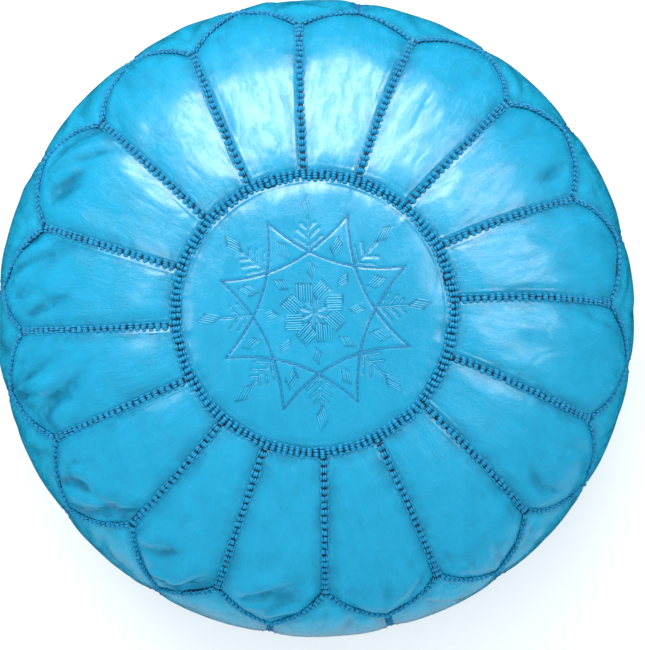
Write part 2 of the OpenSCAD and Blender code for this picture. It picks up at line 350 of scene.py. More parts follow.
class Net:
    """Short ways to add nodes to a tree."""

    def __init__(self, tree):
        self.tree = tree

    def node(self, kind, links=None, **settings):
        made = self.tree.nodes.new(kind)
        for key, value in settings.items():
            setattr(made, key, value)
        for key, value in (links or {}).items():
            socket = made.inputs[key]
            if hasattr(value, "is_linked") or hasattr(value, "links"):
                self.tree.links.new(value, socket)
            else:
                socket.default_value = value
        return made

    def math(self, operation, a, b=0.0):
        return self.node("ShaderNodeMath", {0: a, 1: b}, operation=operation).outputs[0]

    def noise(self, vector, scale, detail, rough=0.5):
        return self.node("ShaderNodeTexNoise", {"Vector": vector, "Scale": scale, "Detail": detail,
                                                "Roughness": rough}).outputs["Fac"]

    def streaks(self, vector, scale, detail, rough):
        """Noise drawn out along one direction of the hide."""
        long = self.node("ShaderNodeMapping", {"Vector": vector, "Scale": scale}).outputs[0]
        return self.noise(long, 1.0, detail, rough)

    def lines(self, value, width):
        """From 0 on the lines where a noise crosses its middle to 1 away from them."""
        return self.ramp(self.math("ABSOLUTE", self.math("SUBTRACT", value, 0.5)), 0.0, width)

    def bump(self, strength, distance, height, normal=None):
        links = {"Strength": strength, "Distance": distance, "Height": height}
        if normal is not None:
            links["Normal"] = normal
        return self.node("ShaderNodeBump", links).outputs[0]

    def ramp(self, value, low, high, to_low=0.0, to_high=1.0):
        return self.node("ShaderNodeMapRange", {"Value": value, "From Min": low, "From Max": high,
                                                "To Min": to_low, "To Max": to_high}).outputs["Result"]

    def mix(self, factor, a, b):
        return self.node("ShaderNodeMix", {0: factor, 6: a, 7: b}, data_type="RGBA").outputs[2]


def srgb(r, g, b):
    """A colour given in display values from 0 to 255."""
    linear = [c / 255 / 12.92 if c < 10 else ((c / 255 + 0.055) / 1.055) ** 2.4 for c in (r, g, b)]
    return (*linear, 1.0)


def leather_effect():
    """Grain, fine creases, uneven dye, painted shade beside the seams and in the folds and creases, and a
    patchy glaze, as on thin glazed sheepskin.
    """
    group, gin, gout = node_group("LeatherSkin", [
        ("Colour", "NodeSocketColor", srgb(32, 158, 205)),
        ("Deep", "NodeSocketColor", srgb(16, 118, 165)),
        ("Pale", "NodeSocketColor", srgb(70, 190, 225)),
        ("Crease", "NodeSocketFloat", 0.6),
        ("Streak", "NodeSocketFloat", 1.0), ("Dull", "NodeSocketFloat", 0.3)],
        [("Colour", "NodeSocketColor"), ("Roughness", "NodeSocketFloat"),
         ("Normal", "NodeSocketVector"), ("Glaze", "NodeSocketFloat")])
    net = Net(group)
    where = net.node("ShaderNodeTexCoord").outputs["Object"]
    lay = net.node("ShaderNodeAttribute", attribute_name="lay").outputs["Vector"]
    seam = net.node("ShaderNodeAttribute", attribute_name="seam_gap").outputs["Fac"]
    bend = net.node("ShaderNodeTexNoise", {"Vector": lay, "Scale": 0.045, "Detail": 3.0}).outputs["Color"]
    push = net.node("ShaderNodeVectorMath", {0: bend, 1: (14.0, 14.0, 0.0)},
                    operation="MULTIPLY").outputs[0]
    bent = net.node("ShaderNodeVectorMath", {0: lay, 1: push}, operation="ADD").outputs[0]

    mottle = net.noise(where, 14.0, 4.0, 0.6)
    cloud = net.noise(bent, 0.055, 5.0, 0.6)
    streak = net.streaks(bent, (0.42, 0.075, 1.0), 5.0, 0.62)
    wrinkle = net.lines(net.streaks(bent, (1.15, 0.16, 1.0), 3.0, 0.6), 0.09)
    fold = net.lines(net.streaks(bent, (0.10, 0.55, 1.0), 3.0, 0.6), 0.07)
    patch = net.ramp(cloud, 0.42, 0.62)
    wisp = net.streaks(bent, (0.15, 0.032, 1.0), 6.0, 0.62)
    fine = net.noise(where, 520.0, 3.0, 0.6)
    pores = net.node("ShaderNodeTexVoronoi", {"Vector": where, "Scale": 1000.0},
                     feature="F1").outputs["Distance"]

    # Dye: paler in patches. Deeper beside the seams, partly dye and partly painted shade; painted shade in
    # the folds and along the finest creases.
    colour = net.mix(net.ramp(mottle, 0.35, 0.7, 0.0, 0.6), gin.outputs["Colour"], gin.outputs["Pale"])
    # Painted shade, with some real dye at the seams: darker within 13 mm of a seam, a fold or a stitched
    # line.
    edge = net.math("MULTIPLY", net.ramp(seam, 0.0, 13.0, 0.68, 0.0), net.ramp(cloud, 0.35, 0.6, 0.25, 1.0))
    colour = net.mix(edge, colour, gin.outputs["Deep"])
    # Painted shade: darker along the finest creases, where their relief is low.
    lines = net.math("MULTIPLY", net.math("SUBTRACT", 1.0, wrinkle), net.ramp(cloud, 0.4, 0.62, 0.02, 0.14))
    colour = net.mix(lines, colour, gin.outputs["Deep"])

    # Glaze: thick where the hide is smooth, thin where it is worn.
    wear = net.math("ADD", net.math("MULTIPLY", wisp, 0.7), net.math("MULTIPLY", cloud, 0.3))
    worn = net.ramp(wear, 0.38, 0.56)
    rough = net.ramp(worn, 0.0, 1.0, 0.30, 0.20)
    glaze = net.math("MULTIPLY", net.math("MAXIMUM", worn, gin.outputs["Dull"]), 0.7)

    # Relief, from the finest to the broadest: creases, grain, streaks, lumps.
    tall = net.math("ADD",
                    net.math("MULTIPLY", net.math("MULTIPLY", wrinkle, patch), gin.outputs["Crease"]),
                    net.math("MULTIPLY", net.math("MULTIPLY", fold, net.math("SUBTRACT", 1.0, patch)), 0.3))
    grain = net.math("ADD", net.math("MULTIPLY", fine, 0.6), net.math("MULTIPLY", pores, 0.4))
    relief = net.bump(0.6, 0.0003, tall)
    relief = net.bump(0.2, 0.0001, grain, relief)
    relief = net.bump(0.6, 0.0009, net.math("MULTIPLY", streak, gin.outputs["Streak"]), relief)
    relief = net.bump(0.5, 0.0016, cloud, relief)
    group.links.new(colour, gout.inputs["Colour"])
    group.links.new(rough, gout.inputs["Roughness"])
    group.links.new(relief, gout.inputs["Normal"])
    group.links.new(glaze, gout.inputs["Glaze"])
    return group


def shader(name):
    material = bpy.data.materials.new(name)
    material.use_nodes = True
    return material, material.node_tree, material.node_tree.nodes["Principled BSDF"]


def placed(tree, bsdf, effect, values, feeds):
    """Puts a shared effect in a material with its own values, and joins its outputs to the shader."""
    node = tree.nodes.new("ShaderNodeGroup")
    node.node_tree = effect
    for label, value in values.items():
        node.inputs[label].default_value = value
    for label, socket in feeds.items():
        tree.links.new(node.outputs[label], bsdf.inputs[socket])


def leather_material(name, effect, base, deep, pale, crease=0.6, streak=1.0, dull=0.3):
    material, tree, bsdf = shader(name)
    placed(tree, bsdf, effect,
           {"Colour": base, "Deep": deep, "Pale": pale, "Crease": crease, "Streak": streak, "Dull": dull},
           {"Colour": "Base Color", "Roughness": "Roughness", "Normal": "Normal", "Glaze": "Coat Weight"})
    bsdf.inputs["Coat Roughness"].default_value = 0.17
    bsdf.inputs["Coat IOR"].default_value = 1.7
    bsdf.inputs["Specular IOR Level"].default_value = 0.32
    bsdf.inputs["IOR"].default_value = 1.5
    return material


def thread_effect():
    """Soft plied thread: a colour with painted shade where its relief is low between the plies, darker in
    random patches, and their relief.
    """
    group, gin, gout = node_group("PliedThread", [
        ("Colour", "NodeSocketColor", srgb(45, 180, 225)), ("Deep", "NodeSocketColor", srgb(15, 80, 125)),
        ("Scale", "NodeSocketFloat", 1500.0)],
        [("Colour", "NodeSocketColor"), ("Normal", "NodeSocketVector")])
    net = Net(group)
    where = net.node("ShaderNodeTexCoord").outputs["Object"]
    fuzz = net.noise(where, gin.outputs["Scale"], 3.0)
    patch = net.noise(where, 160.0, 2.0)
    # Painted shade: darker where the fuzz that makes the relief is low.
    colour = net.mix(net.ramp(fuzz, 0.35, 0.6, 0.35, 0.0), gin.outputs["Colour"], gin.outputs["Deep"])
    colour = net.mix(net.ramp(patch, 0.35, 0.6, 0.3, 0.0), colour, gin.outputs["Deep"])
    group.links.new(colour, gout.inputs["Colour"])
    group.links.new(net.bump(0.5, 0.0003, fuzz), gout.inputs["Normal"])
    return group


def thread_material(name, effect, base, deep, rough, sheen, shine=0.3):
    material, tree, bsdf = shader(name)
    placed(tree, bsdf, effect, {"Colour": base, "Deep": deep}, {"Colour": "Base Color", "Normal": "Normal"})
    bsdf.inputs["Roughness"].default_value = rough
    bsdf.inputs["Sheen Weight"].default_value = sheen
    bsdf.inputs["Sheen Roughness"].default_value = 0.4
    bsdf.inputs["Sheen Tint"].default_value = base
    bsdf.inputs["Specular IOR Level"].default_value = shine
    return material


def cloth_material(name, base, deep, scale):
    """Plain woven cloth: threads over and under in both directions."""
    material, tree, bsdf = shader(name)
    net = Net(tree)
    where = net.node("ShaderNodeTexCoord").outputs["Object"]
    warp, weft = (net.node("ShaderNodeTexWave", {"Vector": where, "Scale": scale, "Distortion": 0.6},
                           bands_direction=way).outputs["Fac"] for way in "XY")
    weave = net.math("MULTIPLY", warp, weft)
    slub = net.noise(where, 90.0, 4.0)
    # Painted shade: darker in the low places of the weave, between the threads.
    colour = net.mix(net.ramp(weave, 0.0, 0.6), deep, base)
    colour = net.mix(net.ramp(slub, 0.3, 0.7, 0.0, 0.3), colour, deep)
    tree.links.new(colour, bsdf.inputs["Base Color"])
    tree.links.new(net.bump(0.5, 0.0003, weave), bsdf.inputs["Normal"])
    bsdf.inputs["Roughness"].default_value = 0.85
    return material


def brass_material(name):
    """Satin brass with fine scratches and a little tarnish."""
    material, tree, bsdf = shader(name)
    net = Net(tree)
    where = net.node("ShaderNodeTexCoord").outputs["Object"]
    long = net.node("ShaderNodeMapping", {"Vector": where, "Scale": (1.0, 9.0, 4.0)}).outputs[0]
    scratch = net.noise(long, 900.0, 3.0)
    tarnish = net.noise(where, 260.0, 4.0, 0.6)
    colour = net.mix(net.ramp(tarnish, 0.4, 0.75, 0.0, 0.7), srgb(214, 178, 104), srgb(128, 92, 48))
    tree.links.new(colour, bsdf.inputs["Base Color"])
    tree.links.new(net.ramp(scratch, 0.3, 0.7, 0.22, 0.42), bsdf.inputs["Roughness"])
    tree.links.new(net.bump(0.15, 0.0001, scratch), bsdf.inputs["Normal"])
    bsdf.inputs["Metallic"].default_value = 1.0
    return material


# ---- Leather panels

def edge_lift(gaps, reach, depth=VALLEY, bulge=BULGE):
    """The swell of a stuffed panel: gaps are the distances to its seams."""
    full = 1.0
    for k, gap in enumerate(gaps):
        full = full * (1 - np.exp(-np.maximum(gap, 0) / reach[min(k, len(reach) - 1)]))
    return -depth + (depth + bulge) * full


def turned_edge(gap, braid_half):
    """The low ridge where the panel's edge is folded under, just beside the braid."""
    return 0.75 * MM * np.exp(-((gap - braid_half - 1.0 * MM) / (1.1 * MM)) ** 2)


def pulls(gap, along, seed, amp, reach, cell):
    """Small gathers that the stitches pull into the leather beside a seam."""
    wave = soft_noise(along, 0 * along + seed * 3.7, cell, seed) - 0.5
    wave = wave + 0.5 * (soft_noise(along, 0 * along + seed, cell * 0.5, seed + 5) - 0.5)
    return amp * wave * 2 * np.exp(-gap / reach) * (1 - np.exp(-gap / (1.5 * MM)))


def folds(x, y, starts, ways, seed, depth, long):
    """Folds, each a crisp valley with a soft ridge beside it, that run from a start point and die out."""
    rng = np.random.default_rng(seed)
    total = np.zeros_like(x)
    for (x0, y0), way in zip(starts, ways):
        wide, far = rng.uniform(3.8, 8.5) * MM, long * rng.uniform(0.5, 1.4)
        deep, curl = depth * rng.uniform(0.5, 1.3), rng.uniform(-0.2, 0.2)
        along = (x - x0) * math.sin(way) + (y - y0) * math.cos(way)
        off = (x - x0) * math.cos(way) - (y - y0) * math.sin(way) + curl * along ** 2 / far
        t = np.clip(along / far, 0, 1)
        fade = np.sin(math.pi * t ** 0.6) ** 1.2
        wide = wide * (0.8 + 0.8 * t)
        ridge = 0.6 * np.exp(-((off - 1.8 * wide) / (1.2 * wide)) ** 2)
        total += deep * fade * (ridge - np.exp(-1.2 * np.abs(off / wide) ** 1.35))
    return total


def shaded(gap, fold):
    """Distance to the nearest seam, cut down in the folds so that painted shade darkens their valleys."""
    # Painted shade: the deeper the fold, the darker its colour.
    deep = np.clip(-fold / (1.8 * MM), 0, 1) ** 1.5
    return np.minimum(gap, 14 * MM * (1 - 0.95 * deep))


def mark_dye_and_shade_gap(obj, gap):
    """Stores each point's distance to its nearest seam, in millimetres, cut down where shade is painted:
    the colour deepens there, partly as dye and partly as painted shade.
    """
    layer = obj.data.attributes.new("seam_gap", "FLOAT", "POINT")
    layer.data.foreach_set("value", (np.asarray(gap).ravel() / MM).astype(np.float32))


def mark_lay(obj, across, along, k):
    """Stores where each point lies in the flat hide, in millimetres, so creases run along the panel."""
    flat = np.stack(np.broadcast_arrays(np.asarray(across) / MM, np.asarray(along) / MM, 37.0 * k), -1)
    layer = obj.data.attributes.new("lay", "FLOAT_VECTOR", "POINT")
    layer.data.foreach_set("vector", flat.reshape(-1).astype(np.float32))


def thicken(obj, thickness=LEATHER_THICKNESS):
    made = obj.modifiers.new("leather thickness", "SOLIDIFY")
    made.thickness = thickness
    made.offset = -1
    made.use_even_offset = False


def top_panel(k, material):
    """Panel k of the top, from the disc to its arch."""
    u = np.linspace(-1, 1, 65)
    v = np.linspace(0, 1, 131)
    vv, uu = np.meshgrid(v, u, indexing="ij")
    edge_t, edge_s = arch_line(k, uu)
    s = RING_S + vv * (edge_s - RING_S)
    left = seam_theta(k, s)
    right = seam_theta(k + 1, s)
    right = np.where(right > left, right - 2 * math.pi, right)
    theta = left + (right - left) * (uu + 1) / 2
    theta = theta + (edge_t - theta) * vv ** 4
    wide = radius(s) * (left - right) / 2
    side = (1 - np.abs(uu)) * wide
    after, before = (1 + uu) * wide, (1 - uu) * wide
    inner = s - RING_S
    outer = (edge_s - s) * 0.9
    nearest = np.minimum(np.minimum(side, inner), outer)
    lift = edge_lift([after, before, inner, outer], (10 * MM, 6 * MM, 7 * MM, 8 * MM))
    worn = lambda a, n: 0.2 + 0.9 * soft_noise(a, 0 * a, 14 * MM, n + k)
    lift += turned_edge(before, TOP_W / 2) * worn(s, 700) + 0.3 * turned_edge(after, TOP_W / 2)
    lift += turned_edge(inner, RING_W / 2) * worn(theta * RING_R, 720) * 0.6
    lift += 0.5 * turned_edge(outer, ARCH_W / 2)
    x, y = (theta - (math.pi / 2 - STEP * (k + 0.5))) * radius(s), s
    lift += pulls(side, s, 11 + k, 0.35 * MM, 7 * MM, 9 * MM)
    lift += pulls(outer, x, 40 + k, 0.9 * MM, 13 * MM, 11 * MM)
    lift += pulls(inner, x, 70 + k, 0.5 * MM, 10 * MM, 8 * MM)
    lift += 1.1 * MM * (soft_noise(x, y * 0.6, 34 * MM, 100 + k) - 0.5) * (1 - np.exp(-nearest / (8 * MM)))
    lift += 0.5 * MM * (soft_noise(x, y * 0.3, 8 * MM, 160 + k) - 0.5) * (1 - np.exp(-nearest / (6 * MM)))
    rng = np.random.default_rng(900 + k)
    spots = np.sort(rng.uniform(-0.9, 0.9, FOLDS[k]))
    corner = (CORNER_S[k] + CORNER_S[(k + 1) % PANELS]) / 2 - 5 * MM
    starts = [(-q * 40 * MM, corner + (TIP_S[k] - corner) * (1 - abs(q))) for q in spots]
    middle = math.pi / 2 - STEP * (k + 0.5)
    slack = k in SLACK_PANELS
    ways = rng.normal(0, 0.3, len(spots)) + (SLACK_FOLD_WAY - middle if slack else math.pi)
    fold = folds(x, y, starts, ways, 930 + k, SLACK_FOLD_DEPTH if slack else FOLD_DEPTH, FOLD_LENGTH)
    lift += fold * (1 - np.exp(-nearest / (9 * MM)))
    lift += 1.5 * MM * (soft_noise(x * 2.1, y, 34 * MM, 180 + k) - 0.5) * (1 - np.exp(-nearest / (9 * MM)))
    lift -= 0.2 * MM * creases(x * 1.3, y * 0.45, 24 * MM, 130 + k) * (1 - np.exp(-nearest / (6 * MM)))
    lift = np.maximum(lift, DEEPEST_TOP)
    obj = piece(f"top_panel_{k + 1:02d}", skin(theta, s, lift).reshape(-1, 3),
                grid_faces(len(v), len(u)), material)
    mark_dye_and_shade_gap(obj, shaded(nearest, fold))
    mark_lay(obj, x, y, k)
    return obj


def side_panel(k, material):
    """The side panel under seam k: its top edge follows half of each arch beside it."""
    w = np.linspace(-1, 1, 63)
    v = np.linspace(0, 1, 190)
    left_t, left_s = arch_line(k - 1, 1 + np.minimum(w, 0))
    right_t, right_s = arch_line(k, -1 + np.maximum(w, 0))
    base = math.pi / 2 - STEP * (k % PANELS)
    near = lambda t: base + (t - base + math.pi) % (2 * math.pi) - math.pi
    top_t = np.where(w < 0, near(left_t), near(right_t))
    top_s = np.where(w < 0, left_s, right_s)
    vv, ww = np.meshgrid(v, w, indexing="ij")
    s = top_s[None] + vv * (S[-1] - top_s[None])
    lower_left, lower_right = near(side_theta(k - 1, s)), near(side_theta(k, s))
    theta = lower_left + (lower_right - lower_left) * (ww + 1) / 2
    drop = s - top_s[None]
    theta = theta + (top_t[None] - theta) * np.exp(-(drop / (30 * MM)) ** 2)
    wide = radius(s) * (lower_left - lower_right) / 2
    side = (1 - np.abs(ww)) * wide
    side = np.where(drop < 60 * MM, np.maximum(side, 0), side)
    outer = drop * 0.8
    low = S[-1] - s
    nearest = np.minimum(np.minimum(side, outer), low)
    lift = edge_lift([side, outer, low + 20 * MM], (8 * MM, 9 * MM, 12 * MM), VALLEY, 1.3 * MM)
    lift -= 0.7 * MM * np.exp(-side / (4 * MM)) * (1 - np.exp(-outer / (6 * MM)))
    on_floor = np.exp(-np.maximum(height(s) - 2 * MM, 0) / (12 * MM))
    lift = lift * (1 - on_floor)
    lift += (1 - on_floor) * (turned_edge(side, SIDE_W / 2) + 0.8 * turned_edge(outer, ARCH_W / 2))
    x, y = (theta - base) * BELLY_R, s
    rumple = (1 - np.exp(-nearest / (8 * MM))) * (1 - on_floor)
    lift += (1 - on_floor) * pulls(side, s, 211 + k, 0.5 * MM, 9 * MM, 12 * MM)
    lift += (1 - on_floor) * pulls(outer, x, 240 + k, 0.9 * MM, 14 * MM, 11 * MM)
    lift += 0.8 * MM * (soft_noise(x * 0.7, y, 42 * MM, 270 + k) - 0.5) * rumple
    rng = np.random.default_rng(960 + k)
    spots = rng.uniform(-0.8, 0.8, 4)
    starts = [(q * 40 * MM, float(top_s.min()) + 12 * MM + 30 * MM * abs(q)) for q in spots]
    fold = folds(x, y, starts, rng.normal(0, 0.45, 4), 980 + k, 1.1 * MM, 70 * MM) * rumple
    lift += fold
    lift -= 0.45 * MM * creases(x * 0.8, y * 1.2, 44 * MM, 300 + k) * rumple
    lift = np.maximum(lift, DEEPEST_SIDE)
    obj = piece(f"side_cover_{k + 1:02d}", skin(theta, s, lift).reshape(-1, 3),
                grid_faces(len(v), len(w)), material)
    mark_dye_and_shade_gap(obj, shaded(nearest, fold))
    mark_lay(obj, x, y, 20 + k)
    return obj


def disc_point(x, y, lift):
    """Points on the middle disc from flat coordinates."""
    r = np.hypot(x, y)
    return skin(np.arctan2(y, x), s_at_radius_cap(r), lift)


def s_at_radius_cap(r):
    inner = S <= RING_S + 8 * MM
    return np.interp(r, LINE[inner, 0], S[inner])


def disc_lift(x, y):
    """How far the stuffing pushes the disc up off the plain outline."""
    gap = RING_S - s_at_radius_cap(np.hypot(x, y))
    swell = edge_lift([gap], (11 * MM,), VALLEY, 1.9 * MM)
    swell = swell + 1.3 * MM * (soft_noise(x, y, 26 * MM, 9) - 0.5)
    return swell + 0.3 * MM * (soft_noise(x, y, 11 * MM, 10) - 0.5)


def middle_disc(material):
    """The embroidered disc of the top, with the leather drawn down along every line of thread."""
    rows, cols = 160, 540
    s = np.linspace(0.2 * MM, RING_S, rows)
    a = np.linspace(0, 2 * math.pi, cols, endpoint=False)
    ss, aa = np.meshgrid(s, a, indexing="ij")
    x, y = radius(ss) * np.cos(aa), radius(ss) * np.sin(aa)
    gap = RING_S - ss
    lift = disc_lift(x, y)
    ridge = 0.1 + 0.8 * soft_noise(aa * RING_R, 0 * aa, 16 * MM, 31)
    lift += turned_edge(gap, RING_W / 2 - 0.6 * MM) * ridge
    lift += pulls(gap, aa * RING_R, 5, 1.0 * MM, 9 * MM, 10 * MM)
    near = np.full(x.shape, 1.0)
    for line in star_lines() + stem_lines():
        p = np.asarray(line)
        for a0, a1 in zip(p[:-1], p[1:]):
            d = a1 - a0
            t = np.clip(((x - a0[0]) * d[0] + (y - a0[1]) * d[1]) / (d @ d), 0, 1)
            near = np.minimum(near, np.hypot(x - a0[0] - t * d[0], y - a0[1] - t * d[1]))
    lift -= 0.5 * MM * np.exp(-(near / (1.3 * MM)) ** 2)
    # Painted shade: the leather is coloured darker near the ring (partly dye as well), beside every
    # stitched line and under the satin blocks.
    dark = np.minimum(gap, near * 7)
    for centre, strand, stack, _ in satin_blocks():
        area = strand[0] * stack[1] - strand[1] * stack[0]
        a = ((x - centre[0]) * stack[1] - (y - centre[1]) * stack[0]) / area
        b = ((y - centre[1]) * strand[0] - (x - centre[0]) * strand[1]) / area
        dark = np.where((np.abs(a) < 0.52) & (np.abs(b) < 0.52), 0, dark)
    obj = piece("middle_disc", skin(aa, ss, lift).reshape(-1, 3),
                flipped(grid_faces(rows, cols, True)), material)
    mark_dye_and_shade_gap(obj, dark)
    mark_lay(obj, x, y, 40)
    return obj


# ---- Embroidery, laid out in millimetres on the flat disc

TURN = math.radians(1.2)
TIP_JIG = (0.4, -0.6, 0.9, -0.3, 0.5, 1.0, -0.2, -0.8)
TIP_REACH = (79.5, 80.5, 79, 76.5, 77.5, 78.5, 77, 78.5)


def polar(r, a):
    return np.array([r * math.cos(a), r * math.sin(a)]) * MM


def star_tip(k):
    k %= 8
    return polar(TIP_REACH[k], math.radians(22.5 + 45 * k + TIP_JIG[k]) + TURN)


def star_lines():
    """Eight bowed lines, each from one point of the star to the next but one."""
    lines = []
    for k in range(8):
        a, b = star_tip(k), star_tip(k + 2)
        waist = polar(42.5, math.radians(22.5 + 45 * (k + 1)) + TURN)
        lines.append([a * (1 - t) ** 2 + b * t ** 2 + 2 * t * (1 - t) * (2 * waist - (a + b) / 2)
                      for t in np.linspace(0, 1, 15)])
    return lines


def spray_angle(k):
    return math.radians(45 * k + (0.6, -0.5, 0.2, 0.9, -0.7, 0.3, 0.5, -0.4)[k % 8]) + TURN


def stem_lines():
    """The stems and chevrons of the eight sprays, and the short spokes in the middle."""
    lines = []
    for k in range(8):
        a = spray_angle(k)
        lines.append([polar(r, a) for r in (46.5, 60, 73)])
        for apex, arm, spread in ((50.5, 13.5, 50), (57.5, 11.5, 47), (64.5, 7.5, 44)):
            if apex > 60 and k % 3 == 1:
                continue
            for side in (-1, 1):
                end = polar(apex, a) + polar(arm, a + side * math.radians(spread))
                lines.append([polar(apex + 0.6, a), end])
        lines.append([polar(0.8, a + 0.39), polar(9.5 + k % 2, a + 0.39)])
    return lines


def satin_blocks():
    """Centre, strand vector, stacking vector and strand count of every satin-stitched lozenge."""
    blocks = []
    for k in range(8):
        a = spray_angle(k)
        b = math.radians(22.5 + 45 * k) + TURN
        flip = 1 if k % 4 else -1
        blocks.append((polar(17.4, b), polar(15.2, b - math.radians(24)),
                       polar(12.8, b + math.radians(62)), 7))
        blocks.append((polar(33.5, a), polar(10.4, a - flip * math.radians(20)),
                       polar(8.0, a + flip * math.radians(42)), 5))
        blocks.append((polar(54, b), polar(13.0, b - flip * math.radians(16)),
                       polar(9.2, b + flip * math.radians(44)), 5))
        blocks.append((polar(82, a), polar(14.2, a + flip * math.radians(14)),
                       polar(10.6, a - flip * math.radians(38)), 5))
    return blocks


def flat_strands(x0, y0, x1, y1, foot, rise, r):
    """Threads between pairs of points on the disc."""
    x0, y0, x1, y1 = [np.asarray(q, float) for q in (x0, y0, x1, y1)]
    half = np.hypot(x1 - x0, y1 - y0) / 2
    local = strands(0 * half, 0 * half, half, 0 * half, foot, rise, r)
    c = ((x1 - x0) / (2 * half))[:, None, None]
    d = ((y1 - y0) / (2 * half))[:, None, None]
    x = ((x0 + x1) / 2)[:, None, None] + local[..., 0] * c - local[..., 1] * d
    y = ((y0 + y1) / 2)[:, None, None] + local[..., 0] * d + local[..., 1] * c
    return disc_point(x, y, local[..., 2] + disc_lift(x, y)).reshape(-1, 3), tube_faces(len(half))


def couched_line(line, seed, stitch=4.6 * MM, r=0.52 * MM):
    """A line of slightly overlapping back stitches."""
    rng = np.random.default_rng(seed)
    p = np.asarray(line)
    x = np.concatenate([[0], np.cumsum(np.hypot(*np.diff(p, axis=0).T))])
    n = max(1, int(round(x[-1] / stitch)))
    cuts = np.linspace(0, x[-1], n + 1)
    over = 0.45 * MM
    at = lambda q, axis: np.interp(q, x, p[:, axis])
    a, b = np.maximum(cuts[:-1] - over, 0), np.minimum(cuts[1:] + over, x[-1])
    drift = rng.normal(0, 0.12 * MM, (4, n))
    return flat_strands(at(a, 0) + drift[0], at(a, 1) + drift[1], at(b, 0) + drift[2], at(b, 1) + drift[3],
                        -1.0 * MM, 0.75 * MM, r)


def satin(block, seed, rise):
    """A lozenge of parallel threads."""
    rng = np.random.default_rng(seed)
    centre, strand, stack, count = block
    rows = (np.arange(count) + 0.5) / count - 0.5
    mid = centre[None] + rows[:, None] * stack[None] + rng.normal(0, 0.16 * MM, (count, 2))
    long = 1 + rng.normal(0, 0.05, count)
    a, b = mid - strand[None] / 2 * long[:, None], mid + strand[None] / 2 * long[:, None]
    spread = abs(stack[0] * strand[1] - stack[1] * strand[0]) / np.hypot(*strand) / count
    return flat_strands(a[:, 0], a[:, 1], b[:, 0], b[:, 1], -0.9 * MM, rise, spread * 0.37)


# ---- Braids

def braid(name, node, parts, material, shade_strips, shade_material):
    obj = piece(name, *gather(parts), material)
    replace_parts(obj, node)
    under = piece(name + "_ground", *gather(shade_strips), shade_material)


def ring_path():
    a = np.linspace(math.pi / 2 + 0.1, math.pi / 2 + 0.1 - 2 * math.pi, 721)
    wobble = 0.5 * MM * np.sin(3 * a + 1) + 0.35 * MM * np.sin(7 * a)
    return Path(a, RING_S + wobble)


def top_path(k):
    s = np.linspace(RING_S, CORNER_S[k], 60)
    return Path(seam_theta(k, s), s)


def arch_path(k):
    u = np.linspace(-1, 1, 121)
    theta, s = arch_line(k, u)
    return Path(theta, s)


def side_path(k):
    s0 = float(arch_line(k, np.array(0.0))[1])
    s = np.linspace(s0, float(s_at_height(7 * MM)), 160)
    return Path(side_theta(k, s), s)


def all_braids(thread, shaded_side_thread, gap_shade):
    ring = ring_path()
    braid("ring_stitches", "ring_braid",
          [bundle_row(ring, 0, ring.length, 4.85 * MM, RING_W, 5, 1, 2.9 * MM, -1.6 * MM)], thread,
          [gap_shade_strip(ring, 0, ring.length, RING_W * 0.96)], gap_shade)
    rows, shade_strips = [], []
    for k in range(PANELS):
        path = top_path(k)
        rows.append(bundle_row(path, RING_W / 2 + 0.3 * MM, path.length + 1.5 * MM,
                               5.7 * MM, TOP_W, 4, 20 + k, 2.5 * MM, -1.6 * MM, 0.06))
        shade_strips.append(gap_shade_strip(path, RING_W / 2, path.length, TOP_W * 0.92))
    braid("top_seam_stitches", "top_seam_braids", rows, thread, shade_strips, gap_shade)
    rows, shade_strips = [], []
    for k in range(PANELS):
        path = arch_path(k)
        mid = path.length / 2
        for a, b, seed in ((3.2 * MM, mid, 50 + k), (mid, path.length - 3.2 * MM, 80 + k)):
            rows.append(bundle_row(path, a, b, 4.9 * MM, ARCH_W, 3, seed, 3.0 * MM, -1.3 * MM, 0.1))
        shade_strips.append(gap_shade_strip(path, 2 * MM, path.length - 2 * MM, ARCH_W * 0.9))
    braid("arch_stitches", "arch_braids", rows, thread, shade_strips, gap_shade)
    rows, shade_strips = [], []
    for k in range(PANELS):
        path = side_path(k)
        rows.append(bundle_row(path, 2.5 * MM, path.length,
                               5.6 * MM, SIDE_W, 3, 120 + k, 1.6 * MM, -2.9 * MM, 0.05))
        shade_strips.append(gap_shade_strip(path, 2 * MM, path.length, SIDE_W * 0.92, -2.3 * MM))
    braid("side_seam_stitches", "side_seam_braids", rows, shaded_side_thread, shade_strips, gap_shade)


def embroidery(thread, outline_thread):
    star = piece("star_stitches", *gather([couched_line(q, 400 + i) for i, q in enumerate(star_lines())]),
                 outline_thread)
    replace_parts(star, "embroidery_star")
    sprays = [couched_line(q, 420 + i, 5.5 * MM, 0.45 * MM) for i, q in enumerate(stem_lines())]
    blocks = satin_blocks()
    rosette = [satin(b, 500 + i, 0.85 * MM) for i, b in enumerate(blocks) if i % 4 == 0]
    leaves = [satin(b, 500 + i, 0.75 * MM) for i, b in enumerate(blocks) if i % 4 in (1, 2)]
    sprays += [satin(b, 500 + i, 0.75 * MM) for i, b in enumerate(blocks) if i % 4 == 3]
    for name, node, parts in (("rosette_stitches", "embroidery_rosette", rosette),
                              ("leaf_stitches", "embroidery_leaves", leaves),
                              ("spray_stitches", "embroidery_sprays", sprays)):
        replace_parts(piece(name, *gather(parts), thread), node)


# ---- Base

